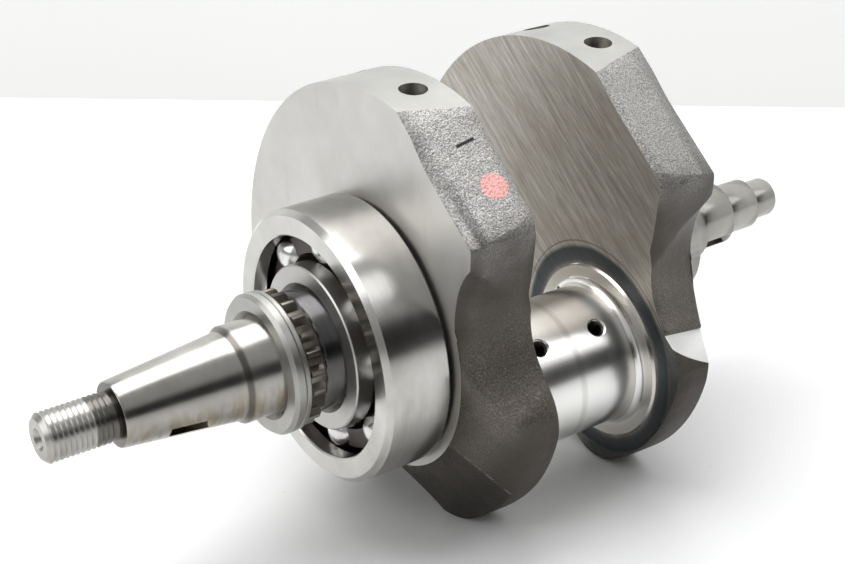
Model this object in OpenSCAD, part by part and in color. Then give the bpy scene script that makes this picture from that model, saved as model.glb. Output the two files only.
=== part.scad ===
// Crankshaft of a small V-twin engine: one forging with a single throw for two connecting rods,
// and the ball bearing, pinion, washer and collar that are fitted on its drive end.
// The main axis lies along X, with the tapered nose toward -X. The origin is on the main axis, in the
// middle of the ball bearing. The shaft lies as it rests on a bench, on the lobe and one shoulder
// of each web.

/* [Throw] */
// Distance from the main axis to the crankpin axis, half the stroke
throw_r = 29.3; // [27:0.1:31]
// Radius of the crankpin
pin_r = 21; // [18:0.25:22]
// Distance between the inner faces of the two webs
web_gap = 42.6; // [40:0.1:46]
// Lean of the throw from straight down, with the shaft at rest
rest_roll = 48; // [0:0.5:60]

/* [Webs] */
// Thickness of each web
web_t = 20.4; // [18:0.1:23]
// Radius of the counterweight rim
rim_r = 71.5; // [70:0.1:74]
// Half the width of a web at its inner face
flank_in = 66.3; // [65:0.1:68]
// Half the width of a web at its outer face
flank_out = 63.8; // [63:0.1:65]
// Height of the centre of the shoulder rounding under the main axis
shoulder_z = -5.5; // [-7:0.1:-4]
// Radius of the faced area around the main axis, on the crankpin side
faced_r = 42; // [41:0.1:43]
// Radius of the balance holes in the rims
balance_r = 4.1; // [3:0.1:5]
// Depth of the balance holes
balance_depth = 14; // [5:0.5:20]

/* [Nose] */
// Length of the threaded end
thread_len = 21; // [15:0.5:24]
// Outside radius of the thread
thread_r = 7; // [6.5:0.1:7.5]
// Pitch of the thread
thread_pitch = 1.5; // [1:0.25:2]
// Radius of the small end of the taper
taper_small_r = 9.35; // [9:0.05:10]
// Length of the taper
taper_len = 35; // [30:0.5:38]
// Radius of the bare journal between the taper and the collar
nose_journal_r = 14; // [13.5:0.1:14.2]

/* [Far end] */
// Radius of the plain main journal
main_r = 20; // [18:0.5:22]
// Length of the plain main journal
main_len = 23; // [18:0.5:26]
// Radius of the gear seat
gear_seat_r = 10; // [9.5:0.1:11]
// Radius of the middle step
middle_r = 8; // [7.5:0.1:8.5]
// Radius of the oil feed tip
feed_r = 6.2; // [5.5:0.1:6.5]

/* [Ball bearing] */
// Bore radius of the bearing
bearing_bore_r = 17.5; // [17.5:0.01:17.6]
// Outside radius of the bearing
bearing_r = 40; // [39:0.5:42]
// Width of the bearing
bearing_w = 21; // [20:0.5:22]
// Number of balls
ball_count = 8; // [7:1:8]
// Radius of a ball
ball_r = 6.65; // [6.4:0.05:6.7]

/* [Pinion] */
// Number of pinion teeth
tooth_count = 22; // [20:1:24]
// Radius to the tips of the teeth
tooth_tip_r = 19.7; // [19.2:0.1:20]
// Radius between the teeth
tooth_root_r = 17.5; // [17:0.1:18]

/* [Hidden] */
$fn = 96;

// stations along the main axis
bearing_back_x = bearing_w / 2;
bearing_front_x = -bearing_w / 2;
boss_h = 0.8;
web_1_x = bearing_back_x + boss_h;
throw_x = web_1_x + web_t + web_gap / 2;
web_2_x = throw_x + web_gap / 2 + web_t;
seat_end_x = bearing_front_x - 5.1;
collar_front_x = -27.4;
collar_back_x = -24;
washer_back_x = -22.1;
teeth_back_x = -17.2;
taper_big_x = -37.1;
taper_small_x = taper_big_x - taper_len;
nose_x = taper_small_x - thread_len;
taper_big_r = taper_small_r + taper_len / 10;
main_end_x = web_2_x + boss_h + main_len;
gear_start_x = 129;
gear_end_x = 142;
middle_end_x = 154;
feed_end_x = 163.4;

// fits
nose_seat_r = nose_journal_r + 0.25;
nose_seat_x = collar_front_x + 1;
slip = 0.02;
eps = 0.01;

// ball bearing
pitch_r = 28.75;
race_r = 6.95;
inner_land_r = 24.15;
outer_land_r = 32.6;
ring_chamfer = 1.6;
cage_half = 2.75;
cage_front = 4;
cage_back = 8.8;

// throw
fillet_r = 2.2;
pin_boss_r = 26.4;
pin_boss_h = 0.9;
rod_x = 10.25;
oil_r = 2;
gallery_r = 5.5;
plug_r = 7;
plug_len = 8;
plug_depth = 9;
feed_bore_r = 2.5;
feed_bore_end_x = 83;

// waist between shoulder and lobe, an arc that widens toward the outer face
waist_y = 54.5;
waist_z = -43.5;
waist_in_r = 21.3;
waist_out_r = 27.6;
shoulder_r = 10;
shoulder_slope = 27;
lobe_r = 61.4;
lobe_side = 32.5;
lobe_corner_r = 16;
bevel_depth = 9.7;
bevel_r = 61.5;
bevel_top_z = -24;

// keyways
key_w = 4;
key_angle = 4;

// Turns a shape made along Z so that it runs along X, starting at x.
module along_x(x) {
    translate([x, 0, 0]) rotate([90, 0, 90]) children();
}

// Revolves an outline of [radius, x] points about the main axis.
module turned(outline) {
    rotate([0, 90, 0]) rotate_extrude() polygon(outline);
}

// Places a shape that is made with the throw straight down at its resting lean.
module at_rest() {
    rotate([-rest_roll, 0, 0]) children();
}

// One half of the outline under the shoulder, on the side where y is positive.
module shoulder_half(half_w) {
    cy = half_w - shoulder_r;
    cz = shoulder_z;
    edge_y = cy + shoulder_r * sin(shoulder_slope);
    edge_z = cz - shoulder_r * cos(shoulder_slope);
    inner_y = 30;
    inner_z = edge_z - (edge_y - inner_y) * tan(shoulder_slope);
    translate([cy, cz]) circle(shoulder_r);
    polygon([[0, 40], [half_w, 40], [half_w, cz], [cy, cz], [edge_y, edge_z],
             [inner_y, inner_z], [0, inner_z]]);
}

// One half of the lobe around the crankpin: a flat side, a round corner and an end turned about the
// main axis, which trims the corner by a hair so that the two arcs cross.
module lobe_half() {
    trim = 0.05;
    corner_y = lobe_side - lobe_corner_r;
    corner_z = -sqrt(pow(lobe_r - lobe_corner_r, 2) - pow(corner_y, 2));
    intersection() {
        circle(lobe_r, $fn = 180);
        union() {
            translate([corner_y, corner_z]) circle(lobe_corner_r + trim);
            polygon([[0, -15], [52, -15], [36, -34], [lobe_side, corner_z], [corner_y, corner_z],
                     [1.5 * corner_y, 1.5 * corner_z], [0, 1.5 * corner_z]]);
        }
    }
}

// The whole outline of a web at its inner face, before the waists are cut.
module web_outline() {
    intersection() {
        circle(rim_r, $fn = 180);
        translate([-flank_in, -5]) square([2 * flank_in, 80]);
    }
    for (side = [0, 1]) mirror([side, 0]) {
        intersection() {
            circle(rim_r, $fn = 180);
            shoulder_half(flank_in);
        }
        lobe_half();
    }
}

// The draft on the two flanks: wedges that take the outer face in from flank_in to flank_out.
module flank_draft() {
    draft = atan((flank_in - flank_out) / web_t);
    for (side = [0, 1]) mirror([0, side, 0])
        translate([0, flank_in, -90]) rotate([0, 0, -draft]) translate([-5, 0, 0]) cube([60, 30, 180]);
}

// Cuts the crankpin side back from the faced area to the end of the lobe.
module lobe_bevel() {
    difference() {
        translate([0, -70, -90]) cube([bevel_depth, 140, 90 + bevel_top_z]);
        turned([[0, -1], [faced_r, -1], [faced_r, 0], [bevel_r, bevel_depth],
                [bevel_r, bevel_depth + 1], [0, bevel_depth + 1]]);
    }
}

// A web standing along +X from its outer face at x = 0 to its inner face.
module web() {
    difference() {
        along_x(0) linear_extrude(web_t) web_outline();
        for (side = [0, 1]) mirror([0, side, 0])
            translate([-eps, waist_y, waist_z]) rotate([0, 90, 0])
                cylinder(h = web_t + 2 * eps, r1 = waist_out_r, r2 = waist_in_r);
        translate([web_t, 0, 0]) mirror([1, 0, 0]) flank_draft();
        translate([-eps, 0, 0]) lobe_bevel();
    }
}

// A radial hole in the rim, angle degrees from the top toward -Y.
module balance_hole(x, angle) {
    rotate([angle, 0, 0]) translate([x, 0, rim_r - balance_depth])
        cylinder(h = balance_depth + 5, r = balance_r);
}

// The half round cut that was milled in the lobe's side to balance the shaft, along the waist's slope.
module balance_scallop() {
    cut_r = 11.5;
    cut_z = -42;
    cut_x = 9.8;
    floor_y = -29;
    slope = atan((waist_out_r - waist_in_r) / web_t);
    translate([throw_x + web_gap / 2 + cut_x, floor_y, cut_z]) rotate([0, 0, slope]) rotate([90, 0, 0])
        difference() {
            cylinder(h = 12, r = cut_r);
            translate([-2 * cut_r, 0, -1]) cube([4 * cut_r, 2 * cut_r, 14]);
        }
}

// The crankpin with its rolled fillets and the raised thrust faces on both webs.
module crankpin() {
    wall = web_gap / 2;
    half = wall + 1;
    face = wall - pin_boss_h;
    translate([throw_x, 0, -throw_r]) rotate([0, 90, 0]) rotate_extrude() difference() {
        polygon([[0, -half], [pin_boss_r + 0.4, -half], [pin_boss_r + 0.4, -wall],
                 [pin_boss_r, -face], [pin_r + fillet_r, -face], [pin_r + fillet_r, fillet_r - face],
                 [pin_r, fillet_r - face], [pin_r, face - fillet_r], [pin_r + fillet_r, face - fillet_r],
                 [pin_r + fillet_r, face], [pin_boss_r, face], [pin_boss_r + 0.4, wall],
                 [pin_boss_r + 0.4, half], [0, half]]);
        for (end = [-1, 1]) translate([pin_r + fillet_r, end * (face - fillet_r)]) circle(fillet_r);
    }
}

// The oil ways: feed bore, slanted drilling, gallery in the crankpin and one hole for each rod.
module oil_ways() {
    drop = throw_r - 2;
    run = feed_bore_end_x - throw_x - 4;
    pin_face_x = web_gap / 2 + web_t;
    turned([[0, feed_bore_end_x - 2], [feed_bore_r, feed_bore_end_x - 2],
            [feed_bore_r, feed_end_x + 1], [0, feed_end_x + 1]]);
    translate([feed_bore_end_x, 0, 0]) rotate([0, -180 + atan(run / drop), 0])
        translate([0, 0, -1]) cylinder(h = norm([run, drop]) - 3, r = feed_bore_r);
    translate([throw_x, 0, -throw_r]) {
        along_x(-pin_face_x - 1) cylinder(h = 2 * pin_face_x + 2, r = gallery_r);
        for (end = [0, 1]) mirror([end, 0, 0])
            along_x(pin_face_x - plug_depth) cylinder(h = plug_depth + 1, r = plug_r + slip);
        for (x = [-rod_x, rod_x]) translate([x, 0, 0]) rotate([90, 0, 0]) {
            cylinder(h = pin_r + 1, r = oil_r);
            translate([0, 0, pin_r - 1.1]) cylinder(h = 1.5, r1 = oil_r, r2 = oil_r + 1.5);
        }
    }
}

// The turned shaft on the drive end, from the threaded tip to the shoulder behind the bearing.
module nose_shaft() {
    groove = 0.61 * thread_pitch;
    turns = floor((thread_len - 2.6) / thread_pitch);
    thread = [for (i = [0 : turns - 1], p = [0 : 2])
        [thread_r - (p == 1 ? groove : 0), nose_x + 1.6 + (i + p * 0.45) * thread_pitch]];
    turned(concat(
        [[0, nose_x], [thread_r - 1.3, nose_x], [thread_r, nose_x + 1.3]],
        thread,
        [[thread_r, taper_small_x - 1], [thread_r - groove, taper_small_x - 0.6],
         [thread_r - groove, taper_small_x], [taper_small_r - 0.3, taper_small_x],
         [taper_small_r, taper_small_x + 0.4], [taper_big_r, taper_big_x], [nose_journal_r, taper_big_x + 1],
         [nose_journal_r, nose_seat_x - 0.5], [nose_seat_r, nose_seat_x],
         [nose_seat_r, seat_end_x], [bearing_bore_r - 0.8, seat_end_x],
         [bearing_bore_r, seat_end_x + 0.8], [bearing_bore_r, bearing_back_x],
         [inner_land_r, bearing_back_x], [inner_land_r + 0.6, web_1_x + 1], [0, web_1_x + 1]]));
}

// The turned shaft on the far end, from the web to the oil feed tip.
module far_shaft() {
    step_x = main_end_x + 3;
    face = web_2_x + boss_h;
    collar_r = gear_seat_r + 2;
    turned([[0, web_2_x - 1], [main_r + 5.6, web_2_x - 1], [main_r + 5, face],
            [main_r + 1, face], [main_r, face + 1], [main_r, main_end_x - 1],
            [main_r - 1, main_end_x], [collar_r + 1, main_end_x], [collar_r + 1, step_x],
            [collar_r, step_x + 1], [collar_r, gear_start_x - 1], [gear_seat_r, gear_start_x - 1],
            [gear_seat_r, gear_end_x - 1.3], [gear_seat_r - 1.3, gear_end_x], [middle_r, gear_end_x],
            [middle_r, middle_end_x - 1], [middle_r - 1, middle_end_x], [feed_r, middle_end_x],
            [feed_r, feed_end_x - 1.5], [feed_r - 0.5, feed_end_x - 0.5], [feed_r - 1.5, feed_end_x],
            [0, feed_end_x]]);
}

// A curved keyway that a disc cutter of radius cut_r leaves, depth deep under radius r.
module keyway(x, r, cut_r, depth) {
    rotate([180 - key_angle, 0, 0]) translate([x, key_w / 2, r - depth + cut_r]) rotate([90, 0, 0])
        cylinder(h = key_w, r = cut_r);
}

module crankshaft() {
    color("#b9b8b4") at_rest() difference() {
        union() {
            translate([web_1_x, 0, 0]) web();
            translate([web_2_x, 0, 0]) mirror([1, 0, 0]) web();
            crankpin();
            nose_shaft();
            far_shaft();
        }
        balance_hole(22.7, 56);
        balance_hole(24.4, 28.5);
        balance_hole(86, 57);
        balance_hole(85.6, 34);
        balance_scallop();
        oil_ways();
        keyway(-54.3, taper_small_r + 1.75, 6.5, 3.5);
        keyway(134, gear_seat_r, 6.5, 3);
        key_slot(slip);
        along_x(nose_x - eps) cylinder(h = 3, r1 = 3.1, r2 = 1.4);
        along_x(nose_x) cylinder(h = 6, r = 1.4);
    }
}

// The space of the pinion's key, grown by gap on every side.
module key_slot(gap) {
    translate([washer_back_x + 0.5 - gap, -key_w / 2 - gap, nose_seat_r - 2 - gap])
        cube([6 + 2 * gap, key_w + 2 * gap, key_w + 2 * gap]);
}

// A ring of the bearing, from bore to rim, with the ball's groove cut in it.
module bearing_ring(bore, rim, bore_cut, rim_cut) {
    rotate([0, 90, 0]) rotate_extrude() difference() {
        polygon([[bore + bore_cut, bearing_front_x], [rim - rim_cut, bearing_front_x],
                 [rim, bearing_front_x + rim_cut], [rim, bearing_back_x - rim_cut],
                 [rim - rim_cut, bearing_back_x], [bore + bore_cut, bearing_back_x],
                 [bore, bearing_back_x - bore_cut], [bore, bearing_front_x + bore_cut]]);
        translate([pitch_r, 0]) circle(race_r);
    }
}

module bearing_outer_ring() {
    color("#c9cacb") bearing_ring(outer_land_r, bearing_r, 0.4, ring_chamfer);
}

module bearing_inner_ring() {
    color("#cfcfcc") bearing_ring(bearing_bore_r + slip, inner_land_r, 1.6, 0.4);
}

// Place i of the balls around the bearing.
module at_ball(i) {
    rotate([i * 360 / ball_count, 0, 0]) translate([0, 0, pitch_r]) children();
}

module bearing_cage() {
    color("#3a2a20") difference() {
        turned([[pitch_r - cage_half, -cage_front], [pitch_r + cage_half, -cage_front],
                [pitch_r + cage_half, cage_back], [pitch_r - cage_half, cage_back]]);
        for (i = [1 : ball_count]) at_ball(i) sphere(race_r);
    }
}

module ball(i) {
    color("#d4d5d6") at_ball(i) sphere(ball_r);
}

module thrust_collar() {
    r = 20.4;
    bore = nose_seat_r + slip;
    color("#b5b4ae") turned([[bore + 1.5, collar_front_x], [r - 0.9, collar_front_x],
                             [r, collar_front_x + 1.1], [r, collar_back_x - 0.3],
                             [r - 0.4, collar_back_x], [bore, collar_back_x], [bore, collar_front_x + 1.5]]);
}

module thrust_washer() {
    r = 20.3;
    bore = nose_seat_r + slip;
    color("#a9a7a0") turned([[bore, collar_back_x], [r - 0.4, collar_back_x], [r, collar_back_x + 0.3],
                             [r, washer_back_x - 0.5], [r - 0.5, washer_back_x], [bore, washer_back_x]]);
}

// One tooth of the pinion, pointing along +Y.
module tooth() {
    root_w = 1.9;
    tip_w = 0.75;
    polygon([[-root_w, tooth_root_r - 0.6], [-root_w + 0.25, tooth_root_r], [-tip_w, tooth_tip_r - 0.35],
             [-tip_w + 0.35, tooth_tip_r], [tip_w - 0.35, tooth_tip_r], [tip_w, tooth_tip_r - 0.35],
             [root_w - 0.25, tooth_root_r], [root_w, tooth_root_r - 0.6]]);
}

module drive_pinion() {
    teeth_w = teeth_back_x - washer_back_x;
    bore = nose_seat_r + slip;
    rim = tooth_tip_r + 0.8;
    hub_r = tooth_root_r - 0.3;
    color("#6d6a66") at_rest() difference() {
        union() {
            intersection() {
                along_x(washer_back_x) linear_extrude(teeth_w) {
                    circle(tooth_root_r);
                    for (i = [0 : tooth_count - 1]) rotate(i * 360 / tooth_count) tooth();
                }
                turned([[0, washer_back_x - 1], [rim - 3, washer_back_x - 1], [rim, washer_back_x + 1.2],
                        [rim, teeth_back_x - 1.2], [rim - 3, teeth_back_x + 1], [0, teeth_back_x + 1]]);
            }
            turned([[0, washer_back_x], [hub_r, washer_back_x], [hub_r, seat_end_x - 0.4],
                    [hub_r - 0.4, seat_end_x], [0, seat_end_x]]);
        }
        along_x(washer_back_x - 1) cylinder(h = 20, r = bore);
        key_slot(slip);
    }
}

module pinion_key() {
    color("#77736c") at_rest() key_slot(0);
}

module gallery_plugs() {
    socket_r = 3.4;
    color("#8e8b84") at_rest() translate([throw_x, 0, -throw_r]) for (end = [0, 1]) mirror([end, 0, 0])
        along_x(web_gap / 2 + web_t - 0.5 - plug_len) difference() {
            cylinder(h = plug_len, r = plug_r);
            translate([0, 0, plug_len - 4]) cylinder(h = 5, r = socket_r, $fn = 6);
        }
}

crankshaft();
bearing_outer_ring();
bearing_inner_ring();
bearing_cage();
ball(1);  // ball_1
ball(2);  // ball_2
ball(3);  // ball_3
ball(4);  // ball_4
ball(5);  // ball_5
ball(6);  // ball_6
ball(7);  // ball_7
ball(8);  // ball_8
thrust_collar();
thrust_washer();
drive_pinion();
pinion_key();
gallery_plugs();
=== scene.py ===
import bpy
import bmesh
from math import radians, hypot, sin, cos
from mathutils import Matrix, Vector


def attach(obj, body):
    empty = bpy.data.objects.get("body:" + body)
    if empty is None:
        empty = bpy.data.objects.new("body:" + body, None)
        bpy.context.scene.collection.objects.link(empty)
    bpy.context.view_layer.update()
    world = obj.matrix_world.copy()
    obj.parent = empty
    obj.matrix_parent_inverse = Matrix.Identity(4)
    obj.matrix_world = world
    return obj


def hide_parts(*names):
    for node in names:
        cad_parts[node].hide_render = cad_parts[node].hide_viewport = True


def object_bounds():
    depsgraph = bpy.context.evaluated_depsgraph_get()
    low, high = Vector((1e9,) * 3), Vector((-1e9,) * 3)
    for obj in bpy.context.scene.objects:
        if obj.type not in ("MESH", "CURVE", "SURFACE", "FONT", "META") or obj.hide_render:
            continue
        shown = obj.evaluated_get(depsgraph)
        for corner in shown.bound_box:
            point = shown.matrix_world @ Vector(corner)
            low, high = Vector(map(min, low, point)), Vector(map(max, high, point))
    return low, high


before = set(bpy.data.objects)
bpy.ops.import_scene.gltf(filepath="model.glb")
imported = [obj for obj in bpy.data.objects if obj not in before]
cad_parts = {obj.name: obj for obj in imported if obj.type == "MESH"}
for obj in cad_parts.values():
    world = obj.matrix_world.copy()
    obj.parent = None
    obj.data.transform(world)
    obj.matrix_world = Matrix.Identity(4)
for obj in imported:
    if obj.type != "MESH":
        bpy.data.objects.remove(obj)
cadLow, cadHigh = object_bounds()
scene = bpy.context.scene
print("frame loaded", len(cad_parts), "nodes")

camera = {"place": (-0.23728, -0.41127, 0.22131), "target": (0.03133, 0.00495, 0.00633),
          "roll": -3.706, "lens": 78.57, "sensor": 36.0}

shaft = {"lean": radians(48.0), "throwRadius": 0.0293, "pinRadius": 0.021, "rimRadius": 0.0715,  # metres
         "leftOuter": 0.0113, "leftInner": 0.0317, "rightInner": 0.0743, "rightOuter": 0.0947}
throwUp = Vector((0.0, sin(shaft["lean"]), cos(shaft["lean"])))  # from the crankpin toward the main axis


def facing(place, target, roll=0.0):  # a matrix at place, looking at target
    turn = (Vector(target) - Vector(place)).to_track_quat("-Z", "Y").to_matrix().to_4x4()
    return Matrix.Translation(place) @ turn @ Matrix.Rotation(radians(roll), 4, "Z")


def addObject(name, data):
    piece = bpy.data.objects.new(name, data)
    scene.collection.objects.link(piece)
    return piece


def aimCamera(setup):
    data = bpy.data.cameras.new("benchCamera")
    data.lens = setup["lens"]
    data.sensor_width = setup["sensor"]
    data.clip_start = 0.01
    data.clip_end = 20
    eye = addObject("benchCamera", data)
    eye.matrix_world = facing(setup["place"], setup["target"], setup["roll"])
    scene.camera = eye


aimCamera(camera)
print("camera set")


# shader maths: a Wire is one socket, and plain operators on it add Math nodes

class Wire:
    def __init__(self, tree, socket):
        self.tree = tree
        self.socket = socket

    def make(self, kind, settings, values, outlet=0):
        node = self.tree.nodes.new(kind)
        for name, value in settings.items():
            if name == "stops":
                self.setStops(node, value)
            else:
                setattr(node, name, value)
        for name, value in values.items():
            plug = node.inputs[name]
            if isinstance(value, Wire):
                self.tree.links.new(value.socket, plug)
            else:
                plug.default_value = value
        return Wire(self.tree, node.outputs[outlet])

    def setStops(self, node, stops):
        ramp = node.color_ramp
        while len(ramp.elements) < len(stops):
            ramp.elements.new(0.5)
        for element, (place, colour) in zip(ramp.elements, stops):
            element.position = place
            element.color = colour

    def math(self, operation, first, second=0.0, third=0.0):
        return self.make("ShaderNodeMath", {"operation": operation}, {0: first, 1: second, 2: third})

    def __add__(self, other):
        return self.math("ADD", self, other)

    __radd__ = __add__

    def __sub__(self, other):
        return self.math("SUBTRACT", self, other)

    def __rsub__(self, other):
        return self.math("SUBTRACT", other, self)

    def __mul__(self, other):
        return self.math("MULTIPLY", self, other)

    __rmul__ = __mul__

    def root(self):
        return self.math("SQRT", self)

    def step(self, low, high):  # 0 at low, 1 at high, smooth between; low may be above high
        return self.make("ShaderNodeMapRange", {"interpolation_type": "SMOOTHSTEP"},
                         {"Value": self, "From Min": low, "From Max": high})

    def band(self, low, high, soft):  # 1 between low and high
        return self.step(low - soft, low + soft) * self.step(high + soft, high - soft)

    def noise(self, scale, detail=2.0, rough=0.5):
        return self.make("ShaderNodeTexNoise", {}, {"Vector": self, "Scale": scale, "Detail": detail,
                                                    "Roughness": rough, "Distortion": 0.0})

    def speckle(self, scale):
        return self.make("ShaderNodeTexVoronoi", {"feature": "F1"}, {"Vector": self, "Scale": scale})

    def ramp(self, *stops):
        full = [(place, (*colour, 1.0)) for place, colour in stops]
        return self.make("ShaderNodeValToRGB", {"stops": full}, {"Fac": self})

    def paint(self, under, over):  # this mask lays over on under
        return self.make("ShaderNodeMix", {"data_type": "RGBA"}, {0: self, 6: under, 7: over}, 2)

    def stretch(self, scale, turn=(0.0, 0.0, 0.0)):
        return self.make("ShaderNodeMapping", {}, {"Vector": self, "Scale": scale, "Rotation": turn})

    def join(self, x, y, z):
        return self.make("ShaderNodeCombineXYZ", {}, {0: x, 1: y, 2: z})

    def split(self):
        node = self.make("ShaderNodeSeparateXYZ", {}, {0: self}).socket.node
        return [Wire(self.tree, plug) for plug in node.outputs]


def rgb(red, green, blue):
    return (red, green, blue, 1.0)


def startMaterial(name):
    material = bpy.data.materials.new(name)
    material.use_nodes = True
    tree = material.node_tree
    tree.nodes.clear()
    place = Wire(tree, tree.nodes.new("ShaderNodeTexCoord").outputs["Object"])
    return material, place


def endMaterial(wire, colour, rough, metal=1.0, bumpHeight=None, bumpDepth=0.0, bumpStrength=1.0):
    values = {"Base Color": colour, "Roughness": rough, "Metallic": metal}
    if bumpHeight is not None:
        values["Normal"] = wire.make("ShaderNodeBump", {}, {"Strength": bumpStrength, "Distance": bumpDepth,
                                                            "Height": bumpHeight})
    skin = wire.make("ShaderNodeBsdfPrincipled", {}, values)
    output = wire.tree.nodes.new("ShaderNodeOutputMaterial")
    wire.tree.links.new(skin.socket, output.inputs["Surface"])


def throwPlaces(place):  # x, y and z with the throw turned straight down
    lean = shaft["lean"]
    x, y, z = place.split()
    return x, y * cos(lean) - z * sin(lean), y * sin(lean) + z * cos(lean)


def radiusOf(y, z):
    return (y * y + z * z).root()


# forged skin of the webs: shot-blasted scale, lighter above and browner by the crankpin

forgedLook = {"grain": 2300.0, "pits": 1400.0, "light": (0.53, 0.525, 0.515), "brown": (0.165, 0.148, 0.130),
              "scale": (0.26, 0.235, 0.21), "dark": (0.075, 0.068, 0.060), "glint": (0.80, 0.795, 0.78),
              "deep": (0.040, 0.033, 0.028), "ridgeHighlight": (0.40, 0.38, 0.35), "mark": (0.012, 0.011, 0.010),
              "belowRidgeShade": (0.03, 0.026, 0.022), "dot": (0.93, 0.44, 0.41),
              "brownFrom": -0.002, "brownTo": -0.026, "bevelEnd": 0.0222,
              "ridgeY": -0.0050, "ridgeHalf": 0.00022, "ridgeTop": -0.0300, "ridgeEnd": -0.041,
              "grainDepth": 0.00020, "lumpDepth": 0.0007, "rough": 0.42, "metal": 0.85, "bump": 0.9}
forgedShade = {"edges": [(0.0165, 0.0118, 1.0), (0.0275, 0.0315, 0.5), (0.0880, 0.0940, 0.7)],
               "hollow": (-0.026, -0.0125), "hollowY": (-0.030, -0.036), "under": (-0.046, -0.057),
               "most": 0.86}
flankMarks = {"flankY": -0.05, "dashLow": 0.0215, "dashHigh": 0.0274, "dashZ": 0.0145, "dashTilt": 0.12,
              "dashHalf": 0.0005, "dotX": 0.0257, "dotZ": 0.003, "dotInner": 0.0036, "dotOuter": 0.0042}


def forgedSteel():
    look = forgedLook
    material, place = startMaterial("forgedSteel")
    x, y, z = throwPlaces(place)
    grain = place.noise(look["grain"], 3.0, 0.62)
    pits = place.speckle(look["pits"])
    cloud = place.noise(55.0, 4.0, 0.6)
    wide = place.noise(17.0)
    blur = cloud - 0.5
    lower = (z + blur * 0.03).step(look["brownFrom"], look["brownTo"])
    base = lower.paint(rgb(*look["light"]), rgb(*look["brown"]))
    base = (wide.step(0.45, 0.75) * 0.35).paint(base, rgb(*look["scale"]))
    shade = grain.step(0.36, 0.60)
    base = ((1 - shade) * 0.7).paint(base, rgb(*look["dark"]))
    glint = grain.step(0.60, 0.72) * (1 - lower * 0.7)
    base = (glint * 0.7).paint(base, rgb(*look["glint"]))
    base = forgedShadow(x, y, z, blur, shade).paint(base, rgb(*look["deep"]))
    below, ridgeHighlight = bevelRidge(x, y, z, blur)
    # painted shade below the bevel's crest
    base = (below * 0.55).paint(base, rgb(*look["belowRidgeShade"]))
    # painted highlight along the crest, broken up and stopped short of the lobe's end
    broken = z.step(look["ridgeEnd"], look["ridgeEnd"] - 0.002) * place.noise(420.0, 3.0).step(0.40, 0.52)
    base = (ridgeHighlight * broken * 0.55).paint(base, rgb(*look["ridgeHighlight"]))
    base = (dashMask(x, y, z) * 0.93).paint(base, rgb(*look["mark"]))
    base = (dotMask(x, y, z, place) * (0.35 + 0.6 * grain.step(0.38, 0.56))).paint(base, rgb(*look["dot"]))
    lumps = place.noise(130.0, 3.0, 0.55)
    skin = (grain * 0.7 + pits * 0.5) * look["grainDepth"] + lumps * look["lumpDepth"]
    endMaterial(place, base, look["rough"] + cloud * 0.16, look["metal"], skin, 1.0, look["bump"])
    return material


def forgedShadow(x, y, z, blur, shade):  # darker toward the flat faces, in the waist and underneath
    shades = forgedShade
    side = sum(x.step(start, end) * amount for start, end, amount in shades["edges"])
    hollow = (z + blur * 0.008).band(*shades["hollow"], 0.005) * y.step(*shades["hollowY"])
    under = (z + blur * 0.004).step(*shades["under"])
    deep = (side * 0.28 + hollow * 0.5 + under * 0.62) * (0.75 + 0.5 * shade)
    return deep.math("MINIMUM", deep, shades["most"])


def bevelRidge(x, y, z, blur):  # the crest across the left lobe's bevel: a painted highlight along it, and painted shade below it
    look = forgedLook
    crest = look["ridgeY"]
    onBevel = x.step(look["bevelEnd"], look["bevelEnd"] - 0.001)
    under = (z - look["ridgeTop"]).step(0.0, -0.006)
    below = ((y - crest + blur * 0.001) * under * onBevel).step(0.0, 0.0012)
    return below, y.math("COMPARE", y + blur * 0.001, crest, look["ridgeHalf"]) * onBevel


def onNearFlank(y):
    return y.step(flankMarks["flankY"], flankMarks["flankY"] - 0.005)


def dashMask(x, y, z):  # the struck dash on the near flank
    marks = flankMarks
    along = x.band(marks["dashLow"], marks["dashHigh"], 0.0002)
    rise = z - x * marks["dashTilt"] - marks["dashZ"]
    across = rise.band(-marks["dashHalf"], marks["dashHalf"], 0.00018)
    return along * across * onNearFlank(y)


def dotMask(x, y, z, place):  # the inspector's dab of red
    marks = flankMarks
    ragged = (place.noise(900.0) - 0.5) * 0.0012
    gap = radiusOf(x - marks["dotX"], z - marks["dotZ"]) + ragged
    return gap.step(marks["dotOuter"], marks["dotInner"]) * onNearFlank(y)


# ground faces toward the bearings

def groundFace():
    material, place = startMaterial("groundFace")
    y, z = throwPlaces(place)[1:]
    rings = place.join(radiusOf(y, z), 0.0, 0.0).noise(2600.0, 2.0, 0.6)
    cloud = place.noise(38.0, 4.0, 0.55)
    smear = place.stretch((1.0, 1.6, 0.35)).noise(120.0, 4.0, 0.65)
    base = cloud.ramp((0.30, (0.53, 0.515, 0.49)), (0.62, (0.62, 0.61, 0.59)))
    base = (smear.step(0.60, 0.78) * 0.25).paint(base, rgb(0.42, 0.41, 0.39))
    rust = place.noise(260.0, 5.0, 0.7).step(0.66, 0.74) * cloud.step(0.50, 0.62)
    base = (rust * 0.35).paint(base, rgb(0.30, 0.24, 0.18))
    endMaterial(place, base, 0.36 + smear * 0.10 + cloud * 0.06, 1.0, rings, 0.00002, 0.5)
    return material


# inner faces, scraped along the throw by the grinding wheel, with the burnt band round the crankpin

scrapedLook = {"lay": -5, "burntLow": 0.0255, "burntHigh": 0.0336, "heatLow": 0.0264,  # degrees, metres
               "filletStep": 0.0336, "lowTintFrom": -0.036, "lowTintTo": -0.050, "lowTint": (0.025, 0.04, 0.042)}


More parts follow.
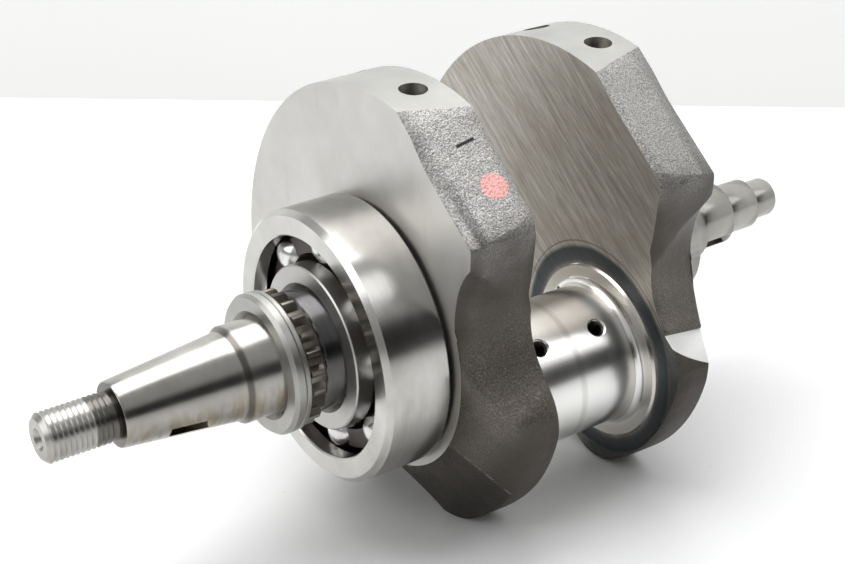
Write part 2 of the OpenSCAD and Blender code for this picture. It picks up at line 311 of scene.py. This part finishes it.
def scrapedFace():
    look = scrapedLook
    material, place = startMaterial("scrapedFace")
    x, y, z = throwPlaces(place)
    radius = radiusOf(y, z + shaft["throwRadius"])
    lay = place.join(x, y, z).stretch((1.0, 1.0, 0.06), (radians(look["lay"]), 0.0, 0.0))
    fine = lay.noise(2600.0, 3.0, 0.6)
    broad = lay.noise(620.0, 5.0, 0.66)
    cloud = place.noise(42.0, 4.0, 0.6)
    base = broad.ramp((0.30, (0.34, 0.312, 0.275)), (0.5, (0.49, 0.465, 0.425)), (0.72, (0.66, 0.64, 0.605)))
    base = (fine.step(0.42, 0.62) * 0.45).paint(base, rgb(0.24, 0.22, 0.19))
    base = (cloud.step(0.48, 0.68) * 0.35).paint(base, rgb(0.33, 0.28, 0.22))
    wobble = (cloud - 0.5) * 0.003
    edge = radius + wobble
    burnt = edge.step(look["burntHigh"], 0.0318) * edge.step(look["burntLow"], 0.0285)
    heat = radius.make("ShaderNodeMapRange", {}, {"Value": radius, "From Min": look["heatLow"],
                                                  "From Max": look["burntHigh"]})
    heatColour = heat.ramp((0.0, (0.13, 0.12, 0.11)), (0.35, (0.045, 0.055, 0.07)),
                           (0.7, (0.02, 0.035, 0.04)), (1.0, (0.05, 0.07, 0.065)))
    base = (burnt * 0.9).paint(base, heatColour)
    # darker teal toward the bottom of the inner faces, below the crankpin
    lowTint = (z + wobble * 2.0).step(look["lowTintFrom"], look["lowTintTo"]) * radius.step(0.030, 0.0335)
    base = (lowTint * 0.8).paint(base, rgb(*look["lowTint"]))
    step = radius.band(look["filletStep"], look["filletStep"] + 0.0005, 0.00015)
    base = (step * 0.6).paint(base, rgb(0.10, 0.09, 0.08))
    endMaterial(place, base, 0.34 + broad * 0.16, 1.0, broad * 0.7 + fine * 0.5, 0.00006, 0.7)
    return material


# turned and ground surfaces of revolution about the main axis

turnedLook = {"ringMark": (0.30, 0.28, 0.25), "stain": (0.24, 0.185, 0.11), "reliefShade": (0.085, 0.08, 0.07),
              "stainFrom": 0.005, "stainTo": -0.002, "ringDepth": 0.000012}


def turnedSteel(name, low, high, rough, ringScale, stain, reliefShade=None):
    material, place = startMaterial(name)
    x, z = place.split()[::2]
    rings = place.join(x, 0.0, 0.0).noise(ringScale, 3.0, 0.65)
    cloud = place.stretch((1.0, 0.6, 0.6)).noise(75.0, 4.0, 0.6)
    base = cloud.ramp((0.32, low), (0.66, high))
    base = (rings.step(0.5, 0.75) * 0.16).paint(base, rgb(*turnedLook["ringMark"]))
    patch = place.stretch((5.0, 1.0, 1.0)).noise(120.0, 4.0, 0.6).step(0.40, 0.62)
    under = (z + place.noise(70.0) * 0.006).step(turnedLook["stainFrom"], turnedLook["stainTo"])
    base = (patch * under * stain).paint(base, rgb(*turnedLook["stain"]))
    # painted shade: a dark band across the relief groove, standing in for the shade of its step
    if reliefShade:
        base = (x.band(*reliefShade, 0.0004) * 0.82).paint(base, rgb(*turnedLook["reliefShade"]))
    endMaterial(place, base, rough + cloud * 0.10 + rings * 0.05, 1.0, rings, turnedLook["ringDepth"], 0.6)
    return material


def rimSteel():
    material, place = startMaterial("rimSteel")
    lines = place.join(place.split()[0], 0.0, 0.0).noise(1500.0, 3.0, 0.6)
    cloud = place.noise(65.0, 3.0)
    base = cloud.ramp((0.3, (0.36, 0.355, 0.34)), (0.7, (0.43, 0.425, 0.41)))
    spot = place.noise(210.0, 4.0, 0.7).step(0.66, 0.72)
    base = (spot * 0.4).paint(base, rgb(0.36, 0.34, 0.31))
    endMaterial(place, base, 0.42 + lines * 0.08, 1.0, lines, 0.00002, 0.5)
    return material


pinWear = (0.0520, 0.0540)  # the dull band between the two rods' tracks


def pinSteel():
    material, place = startMaterial("pinSteel")
    x, y, z = throwPlaces(place)
    lines = place.join(x, 0.0, 0.0).noise(2400.0, 3.0, 0.7)
    cloud = place.noise(60.0, 3.0)
    base = cloud.ramp((0.3, (0.80, 0.79, 0.77)), (0.7, (0.88, 0.875, 0.86)))
    worn = x.band(*pinWear, 0.0006) * 0.35 + lines.step(0.55, 0.75) * 0.12
    base = worn.paint(base, rgb(0.40, 0.38, 0.35))
    radius = radiusOf(y, z + shaft["throwRadius"])
    warm = radius.step(0.0222, 0.0240)
    base = (warm * 0.45).paint(base, rgb(0.42, 0.38, 0.30))
    endMaterial(place, base, 0.16 + cloud * 0.08 + lines * 0.06, 1.0, lines, 0.000008, 0.5)
    return material


def drilledSteel():
    material, place = startMaterial("drilledSteel")
    cloud = place.noise(300.0, 3.0, 0.6)
    rings = place.noise(900.0)
    base = cloud.ramp((0.3, (0.055, 0.05, 0.043)), (0.7, (0.12, 0.112, 0.10)))
    endMaterial(place, base, 0.40 + cloud * 0.15, 1.0, rings, 0.00005, 0.6)
    return material


cutterCentre = {"x": 0.0841, "z": -0.042}


# the milled pocket with its cutter swirl, painted near-white: a painted highlight on the machined steel
def milledHighlight():
    material, place = startMaterial("milledHighlight")
    x, z = throwPlaces(place)[::2]
    swirl = place.join(radiusOf(x - cutterCentre["x"], z - cutterCentre["z"]), 0.0, 0.0).noise(2200.0)
    base = swirl.ramp((0.35, (0.90, 0.895, 0.88)), (0.65, (0.97, 0.965, 0.95)))
    endMaterial(place, base, 0.45 + swirl * 0.12, 0.25, swirl, 0.00002, 0.6)
    return material


def bearingFace():
    material, place = startMaterial("bearingFace")
    y, z = place.split()[1:]
    rings = place.join(radiusOf(y, z), 0.0, 0.0).noise(2600.0, 3.0, 0.6)
    cloud = place.noise(80.0, 4.0, 0.6)
    base = cloud.ramp((0.3, (0.43, 0.42, 0.40)), (0.7, (0.51, 0.505, 0.485)))
    base = (rings.step(0.45, 0.7) * 0.15).paint(base, rgb(0.40, 0.385, 0.36))
    endMaterial(place, base, 0.30 + cloud * 0.10 + rings * 0.06, 1.0, rings, 0.00001, 0.5)
    return material


def ballSteel():
    material, place = startMaterial("ballSteel")
    cloud = place.noise(420.0, 4.0, 0.6)
    base = cloud.ramp((0.35, (0.62, 0.62, 0.61)), (0.68, (0.74, 0.74, 0.735)))
    endMaterial(place, base, 0.14 + cloud * 0.12, 1.0)
    return material


def cageResin():
    material, place = startMaterial("cageResin")
    grain = place.noise(1300.0, 3.0, 0.6)
    cloud = place.noise(90.0, 3.0)
    base = cloud.ramp((0.3, (0.022, 0.014, 0.009)), (0.7, (0.055, 0.036, 0.024)))
    endMaterial(place, base, 0.34 + grain * 0.16, 0.0, grain, 0.00006, 0.4)
    return material


def darkSteel(name, low, high, rough):
    material, place = startMaterial(name)
    grain = place.noise(700.0, 4.0, 0.6)
    cloud = place.noise(150.0, 3.0)
    base = cloud.ramp((0.3, low), (0.7, high))
    base = (grain.step(0.58, 0.72) * 0.4).paint(base, rgb(0.36, 0.33, 0.28))
    endMaterial(place, base, rough + grain * 0.12, 1.0, grain, 0.00003, 0.4)
    return material


finish = {
    "forged": forgedSteel(),
    "face": groundFace(),
    "scraped": scrapedFace(),
    "rim": rimSteel(),
    "pin": pinSteel(),
    # the nose and thread finishes carry a band of painted shade at their relief grooves
    "nose": turnedSteel("noseSteel", (0.32, 0.305, 0.28), (0.42, 0.41, 0.385), 0.14, 1700.0, 0.6,
                        reliefShade=(-0.0378, -0.0362)),
    "thread": turnedSteel("threadSteel", (0.30, 0.29, 0.27), (0.46, 0.45, 0.43), 0.22, 900.0, 0.25,
                          reliefShade=(-0.0790, -0.0715)),
    # the polished seat is painted nearly black: a painted dark reflection
    "seat": turnedSteel("seatDarkReflection", (0.07, 0.068, 0.07), (0.14, 0.136, 0.136), 0.16, 1500.0, 0.1),
    "far": turnedSteel("farSteel", (0.28, 0.27, 0.25), (0.38, 0.37, 0.35), 0.15, 1500.0, 0.2),
    "drilled": drilledSteel(),
    "milled": milledHighlight(),
}
finishOrder = list(finish)
print("crank materials ready")


# the forging's visible skin: a merged copy of the CAD shaft with its forged edges rounded

crankShape = {  # metres; the two angles are in degrees
    "falls": [{"start": 0.0114, "end": 0.0317, "edge": 0.0113, "run": 0.0058, "depth": 0.0020},
              {"start": 0.0114, "end": 0.0317, "edge": 0.0317, "run": -0.0032, "depth": 0.0010},
              {"start": 0.0743, "end": 0.0946, "edge": 0.0743, "run": 0.0032, "depth": 0.0010},
              {"start": 0.0743, "end": 0.0946, "edge": 0.0947, "run": -0.0058, "depth": 0.0011}],
    "shares": (0.15, 0.32, 0.5, 0.72, 1.0), "fades": (0.0245, 0.021, 0.017, 0.013, -0.014, -0.018),
    "topEnd": 0.0268, "topRun": 0.0138, "waist": -0.0139, "waistRun": 0.0042, "waistShare": 0.5,
    "weld": 2e-6, "flatAngle": 0.4, "sharpAngle": 28, "steep": 0.5, "flatArea": 0.00015}

crankCuts = {  # limits between the finishes, in metres
    "threadEnd": -0.0721, "noseEnd": -0.0166, "slack": 0.0001, "planeSlack": 0.0002, "rimSlack": 0.00012,
    "oilHoleY": -0.004, "oilHole": 0.0206, "pin": 0.0270, "gallery": 0.0074, "holeZ": 0.02, "holeY": 0.0625,
    "holeFloor": (0.055, 0.0705), "holeWall": (0.056, 0.0712), "scallopX": (0.073, 0.096),
    "scallopY": -0.02, "scallopZ": -0.0415, "scallopTilt": 0.295}


def inThrow(point):  # the point with the throw turned straight down
    lean = shaft["lean"]
    return Vector((point.x, point.y * cos(lean) - point.z * sin(lean),
                   point.y * sin(lean) + point.z * cos(lean)))


def onPlane(x, *planes):
    return min(abs(x - plane) for plane in planes) < crankCuts["planeSlack"]


def inBalanceHole(spot, radius, radial):
    if spot.z <= crankCuts["holeZ"] or abs(spot.y) >= crankCuts["holeY"]:
        return False
    floorLow, floorHigh = crankCuts["holeFloor"]
    wallLow, wallHigh = crankCuts["holeWall"]
    return ((floorLow < radius < floorHigh and radial < 0.5)
            or (wallLow < radius < wallHigh and abs(radial) < 0.5))


def inScallop(spot, turned):
    low, high = crankCuts["scallopX"]
    if not low < spot.x < high or spot.y >= crankCuts["scallopY"] or spot.z >= crankCuts["scallopZ"]:
        return False
    return abs(turned.x - crankCuts["scallopTilt"]) < 0.02 and turned.y < -0.94


def webFinish(spot, turned, pinGap):
    radius = hypot(spot.y, spot.z)
    radial = (spot.y * turned.y + spot.z * turned.z) / max(radius, 1e-6)
    if abs(radius - shaft["rimRadius"]) < crankCuts["rimSlack"] and radial > 0.97:
        return "rim"
    if abs(turned.x) > 0.999 and onPlane(spot.x, shaft["leftInner"], shaft["rightInner"]):
        return "scraped"
    if abs(turned.x) > 0.999 and onPlane(spot.x, shaft["leftOuter"], shaft["rightOuter"]):
        return "face"
    if inBalanceHole(spot, radius, radial) or (pinGap < crankCuts["gallery"] and abs(turned.x) < 0.9):
        return "drilled"
    return "milled" if inScallop(spot, turned) else "forged"


def finishOf(face):
    cuts = crankCuts
    spot = inThrow(face.calc_center_median())
    turned = inThrow(face.normal)
    pinGap = hypot(spot.y, spot.z + shaft["throwRadius"])
    if spot.x < cuts["threadEnd"]:
        return "thread"
    if spot.x < cuts["noseEnd"]:
        return "nose"
    if spot.x < shaft["leftOuter"] - cuts["slack"]:
        return "seat"
    if spot.x > shaft["rightOuter"] + cuts["slack"]:
        return "far"
    if shaft["leftInner"] + cuts["slack"] < spot.x < shaft["rightInner"] - cuts["slack"]:
        if spot.y < cuts["oilHoleY"] and pinGap < cuts["oilHole"]:
            return "drilled"
        return "pin" if pinGap < cuts["pin"] else "scraped"
    return webFinish(spot, turned, pinGap)


def forgedSides(mesh, fall):
    forged = finishOrder.index("forged")
    return [face for face in mesh.faces
            if face.material_index == forged and abs(face.normal.x) < crankShape["steep"]
            and fall["start"] < face.calc_center_median().x < fall["end"]]


def cutAcross(mesh, faces, point, normal):
    edges = dict.fromkeys(edge for face in faces for edge in face.edges)
    corners = dict.fromkeys(corner for face in faces for corner in face.verts)
    bmesh.ops.bisect_plane(mesh, geom=list(faces) + list(edges) + list(corners), dist=1e-6,
                           plane_co=point, plane_no=normal)


def fallEase(height, shape):  # none high on the counterweight, full at mid height, less below the waist
    top = min(max((shape["topEnd"] - height) / shape["topRun"], 0.0), 1.0)
    low = min(max((shape["waist"] - height) / shape["waistRun"], 0.0), 1.0)
    return top * top * (3.0 - 2.0 * top) * (1.0 - low * (1.0 - shape["waistShare"]))


def staysPut(corner):  # it also touches a side with another finish
    forged = finishOrder.index("forged")
    return any(face.material_index != forged and abs(face.normal.x) < 0.9 for face in corner.link_faces)


def roundForging(mesh, shape):  # the forged sides fall away toward each flat face of a web
    for fall in shape["falls"]:
        for height in shape["fades"]:
            cutAcross(mesh, forgedSides(mesh, fall), throwUp * height, throwUp)
        for share in shape["shares"]:
            cutAcross(mesh, forgedSides(mesh, fall), (fall["edge"] + fall["run"] * share, 0.0, 0.0),
                      (1.0, 0.0, 0.0))
        moves = {}
        corners = dict.fromkeys(corner for face in forgedSides(mesh, fall) for corner in face.verts)
        for corner in corners:
            share = 1.0 - (corner.co.x - fall["edge"]) / fall["run"]
            if not 0.0 < share < 1.001 or staysPut(corner):
                continue
            sides = [face.normal for face in corner.link_faces if abs(face.normal.x) < shape["steep"]]
            away = sum((Vector((0.0, side.y, side.z)).normalized() for side in sides), Vector()) / len(sides)
            ease = fallEase(inThrow(corner.co).z, shape)
            moves[corner] = away * (-fall["depth"] * ease * share * share / max(away.length_squared, 0.5))
        for corner, move in moves.items():
            corner.co += move
        mesh.normal_update()
        print("  rounded", len(moves), "corners near", round(fall["edge"], 4))


def roundNormal(point, kind):  # round faces shade as true cylinders
    if kind == "rim":
        return Vector((0.0, point.y, point.z)).normalized()
    if kind == "pin":
        away = Vector((0.0, point.y, point.z)) + throwUp * shaft["throwRadius"]
        if abs(away.length - shaft["pinRadius"]) < 0.0001:
            return away.normalized()
    return None


def setTrueNormals(data):  # flats keep their own normal, so roundings do not streak across them
    flats = {}
    for face in data.polygons:
        kind = finishOrder[face.material_index]
        if abs(face.normal.x) > 0.999 or (kind == "forged" and face.area > crankShape["flatArea"]):
            for corner in face.vertices:
                flats.setdefault(corner, []).append(face.normal.copy())
    corners = [None] * len(data.loops)
    for face in data.polygons:
        kind = finishOrder[face.material_index]
        for loop in face.loop_indices:
            index = data.loops[loop].vertex_index
            normal = roundNormal(data.vertices[index].co, kind) if abs(face.normal.x) < 0.02 else None
            if normal is None:
                near = [flat for flat in flats.get(index, []) if flat.dot(face.normal) > 0.88]
                normal = max(near, key=face.normal.dot) if near else Vector(data.corner_normals[loop].vector)
            corners[loop] = normal
    data.normals_split_custom_set(corners)


def buildCrank(shape):
    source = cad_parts["crankshaft"]
    mesh = bmesh.new()
    mesh.from_mesh(source.data)
    bmesh.ops.remove_doubles(mesh, verts=mesh.verts, dist=shape["weld"])
    limit = radians(shape["flatAngle"])
    flat = [edge for edge in mesh.edges if len(edge.link_faces) == 2 and edge.calc_face_angle() < limit]
    bmesh.ops.dissolve_edges(mesh, edges=flat, use_verts=True, use_face_split=False)
    print("  merged", len(mesh.faces), "faces")
    for face in mesh.faces:
        face.smooth = True
        face.material_index = finishOrder.index(finishOf(face))
    roundForging(mesh, shape)
    data = bpy.data.meshes.new("forgedCrank")
    mesh.to_mesh(data)
    mesh.free()
    data.set_sharp_from_angle(angle=radians(shape["sharpAngle"]))
    setTrueNormals(data)
    for name in finishOrder:
        data.materials.append(finish[name])
    piece = addObject("forgedCrank", data)
    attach(piece, "crank")
    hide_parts("crankshaft")


buildCrank(crankShape)
print("crank built")


# carried-over CAD pieces

def dress(node, material):
    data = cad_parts[node].data
    data.materials.clear()
    data.materials.append(material)


innerRingSteel = bearingFace()
raceSteel = turnedSteel("raceSteel", (0.46, 0.45, 0.425), (0.60, 0.59, 0.57), 0.12, 1500.0, 0.12)
dress("bearing_outer_ring", raceSteel)
dress("bearing_inner_ring", innerRingSteel)
ball = ballSteel()
for number in range(1, 9):
    dress(f"ball_{number}", ball)
dress("bearing_cage", cageResin())
collarSteel = turnedSteel("collarSteel", (0.33, 0.325, 0.305), (0.43, 0.425, 0.41), 0.28, 1600.0, 0.1)
dress("thrust_collar", collarSteel)
dress("thrust_washer", collarSteel)
pinionSteel = darkSteel("pinionSteel", (0.16, 0.145, 0.125), (0.30, 0.28, 0.25), 0.24)
dress("drive_pinion", pinionSteel)
dress("pinion_key", pinionSteel)
dress("gallery_plugs", darkSteel("plugSteel", (0.16, 0.15, 0.14), (0.28, 0.27, 0.25), 0.36))
print("fitted pieces dressed")


# bench, backdrop and light

bench = {"level": cadLow[2], "nearLeft": (0.0809, 0.4702), "nearRight": (0.3709, 0.1613), "reach": 9.0,
         "wallGap": 0.35, "wallLow": -0.25, "wallHigh": 1.2}
lights = [{"name": "overhead", "place": (0.0, 0.30, 1.1), "size": (1.3, 1.0), "watts": 13.5},
          {"name": "windowLeft", "place": (-1.0, 0.15, 0.6), "size": (0.9, 0.8), "watts": 4.6},
          {"name": "fillRight", "place": (0.8, -0.5, 0.8), "size": (0.7, 0.7), "watts": 2.0}]
lightTarget = (0.03, 0.0, 0.0)
studio = {"low": (0.45, 0.44, 0.43), "middle": (0.72, 0.725, 0.73), "high": (1.0, 1.0, 1.0),
          "middleAt": 0.30, "darkWay": (0.42, -0.907), "dark": (0.02, 0.018, 0.016), "strength": 0.55}


def sheetObject(name, corners, material):
    mesh = bmesh.new()
    mesh.faces.new([mesh.verts.new(corner) for corner in corners])
    data = bpy.data.meshes.new(name)
    mesh.to_mesh(data)
    mesh.free()
    data.materials.append(material)
    addObject(name, data)


def paleSheet(name, low, high, rough, glow=0.0):
    material, place = startMaterial(name)
    cloud = place.noise(6.0, 3.0)
    specks = place.noise(240.0).step(0.76, 0.80)
    base = cloud.ramp((0.3, low), (0.7, high))
    base = (specks * 0.25).paint(base, rgb(0.45, 0.42, 0.38))
    endMaterial(place, base, rough + cloud * 0.08, 0.0)
    skin = material.node_tree.nodes["Principled BSDF"]
    skin.inputs["Emission Color"].default_value = rgb(*high)
    skin.inputs["Emission Strength"].default_value = glow
    return material


def buildBench(setup):
    left = Vector((*setup["nearLeft"], setup["level"]))
    right = Vector((*setup["nearRight"], setup["level"]))
    along = (right - left).normalized()
    out = Vector((-along.y, along.x, 0.0))
    reach = setup["reach"]
    far = (left + right) / 2
    top = paleSheet("benchTop", (0.78, 0.785, 0.785), (0.82, 0.825, 0.825), 0.38)
    wall = paleSheet("backdrop", (0.80, 0.81, 0.80), (0.83, 0.84, 0.83), 0.7, 0.55)
    sheetObject("benchTop", [far - along * reach, far + along * reach, far + along * reach - out * reach,
                             far - along * reach - out * reach], top)
    drop = Vector((0, 0, setup["wallLow"]))
    rise = Vector((0, 0, setup["wallHigh"]))
    back = far + out * setup["wallGap"]
    sheetObject("backdrop", [back - along * reach + drop, back + along * reach + drop,
                             back + along * reach + rise, back - along * reach + rise], wall)


buildBench(bench)


def areaLight(setup):
    data = bpy.data.lights.new(setup["name"], "AREA")
    data.shape = "RECTANGLE"
    data.size, data.size_y = setup["size"]
    data.energy = setup["watts"]
    addObject(setup["name"], data).matrix_world = facing(setup["place"], lightTarget)


for light in lights:
    areaLight(light)


def buildWorld(setup):
    world = bpy.data.worlds.new("studio")
    scene.world = world
    world.use_nodes = True
    tree = world.node_tree
    tree.nodes.clear()
    way = Wire(tree, tree.nodes.new("ShaderNodeTexCoord").outputs["Generated"])
    x, y, z = way.split()
    colour = z.ramp((0.0, setup["low"]), (setup["middleAt"], setup["middle"]), (1.0, setup["high"]))
    toward = x * setup["darkWay"][0] + y * setup["darkWay"][1]
    shade = toward.step(0.25, 0.75) * z.step(0.56, 0.34)  # the dark band that the turned steel mirrors
    colour = (shade * 0.95).paint(colour, rgb(*setup["dark"]))
    room = way.make("ShaderNodeBackground", {}, {"Color": colour, "Strength": setup["strength"]})
    output = tree.nodes.new("ShaderNodeOutputWorld")
    tree.links.new(room.socket, output.inputs["Surface"])


buildWorld(studio)
scene.view_settings.view_transform = "Standard"
print("bench and lights ready")
